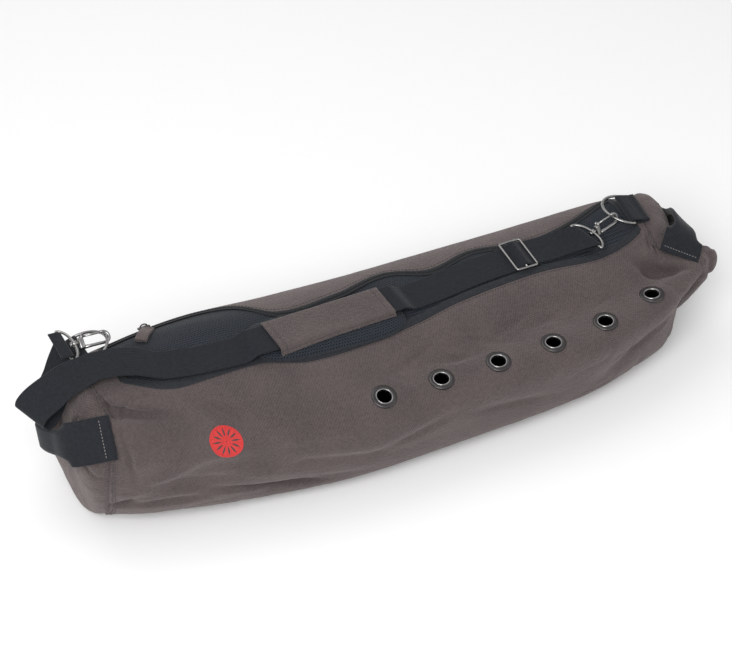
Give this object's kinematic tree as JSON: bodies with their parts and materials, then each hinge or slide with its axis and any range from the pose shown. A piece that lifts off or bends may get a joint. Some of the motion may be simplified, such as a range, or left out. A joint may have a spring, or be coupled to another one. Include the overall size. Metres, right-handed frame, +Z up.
{
  "type": "yoga mat bag",
  "caption": "Slack canvas yoga mat bag lying down, with mesh top, zip, eyelets, end handles and a clip-on shoulder strap.",
  "frame": {"origin": "middle of the footprint, on the surface that the bag lies on", "axes": "+X along the bag to its right end, -Y its front with the eyelets, +Z up"},
  "size_m": [0.7714, 0.2362, 0.1704],
  "materials": {
    "canvas": "washed cotton canvas",
    "mesh": "knitted spacer mesh",
    "webbing": "ribbed webbing",
    "zip_tape": "coil zip",
    "steel": "nickel plated",
    "gunmetal": "gunmetal plated"
  },
  "bodies": {
    "bag": {"body_panel": "canvas", "end_cap_left": "canvas", "end_cap_right": "canvas", "mesh_panel": "mesh", "zip": "zip_tape", "zip_slider": "gunmetal", "zip_pull": "canvas", "eyelet_1": "gunmetal", "eyelet_2": "gunmetal", "eyelet_3": "gunmetal", "eyelet_4": "gunmetal", "eyelet_5": "gunmetal", "eyelet_6": "gunmetal", "handle_left": "webbing", "handle_right": "webbing", "ring_tab_left": "webbing", "ring_tab_right": "webbing", "d_ring_left": "steel", "d_ring_right": "steel", "hook_left": "steel", "hook_right": "steel", "bail_left": "steel", "bail_right": "steel", "strap": "webbing", "slide_adjuster": "gunmetal", "strap_pad": "mesh", "pad_sleeve": "canvas"},
    "gate_left_body": {"gate_left": "steel"},
    "gate_right_body": {"gate_right": "steel"}
  },
  "joints": [
    {"name": "gate_left_hinge", "type": "hinge", "parent": "bag", "child": "gate_left_body", "pos_m": [-0.30403, 0.06382, 0.16517], "axis": [0.1602, -0.5223, 0.8376], "range_deg": [-22, 0], "stiffness_Nm_per_rad": 0.02, "springref_deg": 20.05},
    {"name": "gate_right_hinge", "type": "hinge", "parent": "bag", "child": "gate_right_body", "pos_m": [0.25945, 0.01315, 0.135], "axis": [0.1907, -0.8865, 0.4216], "range_deg": [-22, 0], "stiffness_Nm_per_rad": 0.02, "springref_deg": 20.05}
  ]
}
